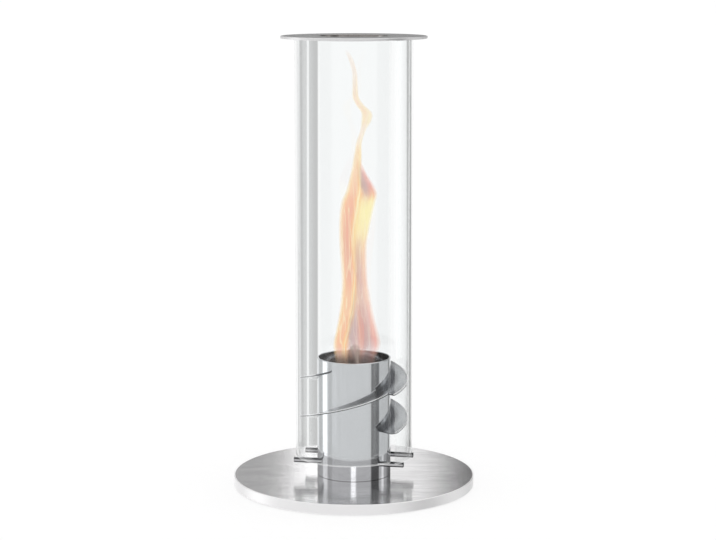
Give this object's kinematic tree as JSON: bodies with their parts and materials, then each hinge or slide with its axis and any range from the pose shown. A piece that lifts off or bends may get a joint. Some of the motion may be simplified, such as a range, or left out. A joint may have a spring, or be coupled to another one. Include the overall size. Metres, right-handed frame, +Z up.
{
  "type": "tabletop fireplace",
  "caption": "Tabletop fireplace: round steel plate, burner tube with helical air vanes and a lift-off chimney of offset glass half-shells under a flat ring.",
  "frame": {"origin": "middle of the surface that the foot pads stand on, on the axis of plate, tube and ring", "axes": "+Z up along the tube axis, -Y towards the front, +X to the right seen from the front"},
  "size_m": [0.216, 0.216, 0.4031],
  "materials": {
    "brushed_plate": "straight-brushed stainless steel",
    "brushed_ring": "straight-brushed stainless steel",
    "polished_tube": "polished stainless steel",
    "polished_vane": "polished stainless steel",
    "polished_rod": "polished stainless steel",
    "plain_steel": "mill-finish steel",
    "tinned_can": "tinned steel",
    "clear_glass": "clear heat-resistant glass",
    "glass_bond": "grey heat-resistant silicone",
    "foot_rubber": "matt black rubber",
    "mineral_wool": "white mineral wool"
  },
  "bodies": {
    "stand": {"base_plate": "brushed_plate", "foot_pad_1": "foot_rubber", "foot_pad_2": "foot_rubber", "foot_pad_3": "foot_rubber", "foot_pad_4": "foot_rubber", "burner_tube": "polished_tube", "tube_floor": "plain_steel", "floor_screw_1": "plain_steel", "floor_screw_2": "plain_steel", "floor_screw_3": "plain_steel", "front_support_rod": "polished_rod", "rear_support_rod": "polished_rod", "front_vane": "polished_vane", "rear_vane": "polished_vane"},
    "chimney": {"front_glass": "clear_glass", "rear_glass": "clear_glass", "front_glass_seal": "glass_bond", "rear_glass_seal": "glass_bond", "top_ring": "brushed_ring"},
    "can_unit": {"fuel_can": "tinned_can", "can_rim": "tinned_can", "fuel_wool": "mineral_wool"}
  },
  "joints": [
    {"name": "chimney_lift", "type": "slide", "parent": "stand", "child": "chimney", "axis": [0, 0, 1], "range_m": [0, 0.125]},
    {"name": "can_lift", "type": "slide", "parent": "stand", "child": "can_unit", "axis": [0, 0, 1], "range_m": [0, 0.115]}
  ]
}
